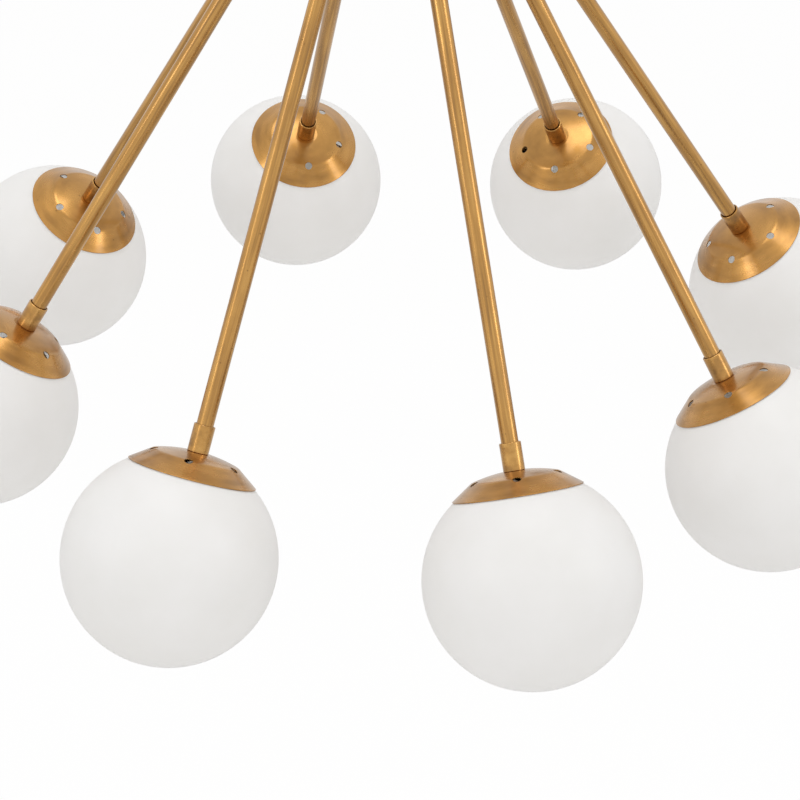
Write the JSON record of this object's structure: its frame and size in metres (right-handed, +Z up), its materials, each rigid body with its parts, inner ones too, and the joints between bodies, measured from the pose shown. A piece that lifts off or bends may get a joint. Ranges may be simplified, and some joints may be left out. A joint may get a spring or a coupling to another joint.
{
  "type": "chandelier",
  "caption": "Ceiling-hung brass chandelier: straight tubes fan out and down from one hub, each ending in a vented dome and an opal glass globe.",
  "frame": {"origin": "centre of the ceiling crossbar's upper face, on the ceiling plane", "axes": "+Z up, square to the ceiling; +X along the crossbar's line of slots"},
  "size_m": [0.7733, 0.7478, 1.3271],
  "materials": {
    "aged_brass": "satin, antiqued by hand, clear-lacquered",
    "plated_steel": "zinc plated",
    "spring_steel": "bright rolled",
    "terminal_plastic": "moulded",
    "lead_sheath": "extruded, matt",
    "porcelain": "glazed",
    "bulb_diffuser": "frosted",
    "opal_glass": "opal, acid-etched satin"
  },
  "bodies": {
    "ceiling_mount": {"ceiling_crossbar": "plated_steel", "ceiling_nipple": "plated_steel", "crossbar_nuts": "plated_steel", "supply_terminal_block": "terminal_plastic", "ceiling_lead": "lead_sheath", "swivel_sleeve": "aged_brass"},
    "canopy_cover": {"canopy": "aged_brass", "canopy_lock_ring": "aged_brass"},
    "swivel_turn": {"swivel_yoke": "aged_brass", "swivel_pivot_screws": "aged_brass"},
    "hanging_frame": {"swivel_knuckle": "aged_brass", "stem_tube_upper": "aged_brass", "stem_joint_nipple": "plated_steel", "stem_tube_lower": "aged_brass", "stem_lead": "lead_sheath", "stem_collar": "aged_brass", "hub_nipple": "plated_steel", "hub_upper_bowl": "aged_brass", "hub_lower_bowl": "aged_brass", "hub_rim_screws": "aged_brass", "hub_terminal_block": "terminal_plastic", "lock_nuts": "plated_steel", "arm_nipples": "plated_steel", "arm_collars": "aged_brass", "globe_spring_clips": "spring_steel", "lampholders": "porcelain", "arm_leads": "lead_sheath", "arm_tube_1": "aged_brass", "arm_tube_2": "aged_brass", "arm_tube_3": "aged_brass", "arm_tube_4": "aged_brass", "arm_tube_5": "aged_brass", "arm_tube_6": "aged_brass", "arm_tube_7": "aged_brass", "arm_tube_8": "aged_brass", "shade_cap_1": "aged_brass", "shade_cap_2": "aged_brass", "shade_cap_3": "aged_brass", "shade_cap_4": "aged_brass", "shade_cap_5": "aged_brass", "shade_cap_6": "aged_brass", "shade_cap_7": "aged_brass", "shade_cap_8": "aged_brass"},
    "globe_1": {"glass_globe_1": "opal_glass"},
    "globe_2": {"glass_globe_2": "opal_glass"},
    "globe_3": {"glass_globe_3": "opal_glass"},
    "globe_4": {"glass_globe_4": "opal_glass"},
    "globe_5": {"glass_globe_5": "opal_glass"},
    "globe_6": {"glass_globe_6": "opal_glass"},
    "globe_7": {"glass_globe_7": "opal_glass"},
    "globe_8": {"glass_globe_8": "opal_glass"},
    "lamp_1": {"bulb_1": "bulb_diffuser"},
    "lamp_2": {"bulb_2": "bulb_diffuser"},
    "lamp_3": {"bulb_3": "bulb_diffuser"},
    "lamp_4": {"bulb_4": "bulb_diffuser"},
    "lamp_5": {"bulb_5": "bulb_diffuser"},
    "lamp_6": {"bulb_6": "bulb_diffuser"},
    "lamp_7": {"bulb_7": "bulb_diffuser"},
    "lamp_8": {"bulb_8": "bulb_diffuser"}
  },
  "joints": [
    {"name": "canopy_drop", "type": "slide", "parent": "ceiling_mount", "child": "canopy_cover", "axis": [0, 0, -1], "range_m": [0, 0.055]},
    {"name": "swivel_turn", "type": "hinge", "parent": "ceiling_mount", "child": "swivel_turn", "pos_m": [0, 0, 0], "axis": [0, 0, 1], "range_deg": [-175, 175]},
    {"name": "hang_straight_tilt", "type": "hinge", "parent": "swivel_turn", "child": "hanging_frame", "pos_m": [0, 0, -0.0703], "axis": [1, 0, 0], "range_deg": [-12, 12]},
    {"name": "globe_1_pull_off", "type": "slide", "parent": "hanging_frame", "child": "globe_1", "axis": [-0.2604, -0.4622, -0.8477], "range_m": [0, 0.11]},
    {"name": "globe_2_pull_off", "type": "slide", "parent": "hanging_frame", "child": "globe_2", "axis": [0.1586, -0.5078, -0.8468], "range_m": [0, 0.11]},
    {"name": "globe_3_pull_off", "type": "slide", "parent": "hanging_frame", "child": "globe_3", "axis": [0.4591, -0.2802, -0.843], "range_m": [0, 0.11]},
    {"name": "globe_4_pull_off", "type": "slide", "parent": "hanging_frame", "child": "globe_4", "axis": [0.5308, 0.1482, -0.8345], "range_m": [0, 0.11]},
    {"name": "globe_5_pull_off", "type": "slide", "parent": "hanging_frame", "child": "globe_5", "axis": [0.2677, 0.475, -0.8383], "range_m": [0, 0.11]},
    {"name": "globe_6_pull_off", "type": "slide", "parent": "hanging_frame", "child": "globe_6", "axis": [-0.1485, 0.5078, -0.8486], "range_m": [0, 0.11]},
    {"name": "globe_7_pull_off", "type": "slide", "parent": "hanging_frame", "child": "globe_7", "axis": [-0.4775, 0.2571, -0.8402], "range_m": [0, 0.11]},
    {"name": "globe_8_pull_off", "type": "slide", "parent": "hanging_frame", "child": "globe_8", "axis": [-0.528, -0.1474, -0.8364], "range_m": [0, 0.11]},
    {"name": "bulb_1_out", "type": "slide", "parent": "hanging_frame", "child": "lamp_1", "axis": [-0.2604, -0.4622, -0.8477], "range_m": [0, 0.03]},
    {"name": "bulb_2_out", "type": "slide", "parent": "hanging_frame", "child": "lamp_2", "axis": [0.1586, -0.5078, -0.8468], "range_m": [0, 0.03]},
    {"name": "bulb_3_out", "type": "slide", "parent": "hanging_frame", "child": "lamp_3", "axis": [0.4591, -0.2802, -0.843], "range_m": [0, 0.03]},
    {"name": "bulb_4_out", "type": "slide", "parent": "hanging_frame", "child": "lamp_4", "axis": [0.5308, 0.1482, -0.8345], "range_m": [0, 0.03]},
    {"name": "bulb_5_out", "type": "slide", "parent": "hanging_frame", "child": "lamp_5", "axis": [0.2677, 0.475, -0.8383], "range_m": [0, 0.03]},
    {"name": "bulb_6_out", "type": "slide", "parent": "hanging_frame", "child": "lamp_6", "axis": [-0.1485, 0.5078, -0.8486], "range_m": [0, 0.03]},
    {"name": "bulb_7_out", "type": "slide", "parent": "hanging_frame", "child": "lamp_7", "axis": [-0.4775, 0.2571, -0.8402], "range_m": [0, 0.03]},
    {"name": "bulb_8_out", "type": "slide", "parent": "hanging_frame", "child": "lamp_8", "axis": [-0.528, -0.1474, -0.8364], "range_m": [0, 0.03]}
  ]
}
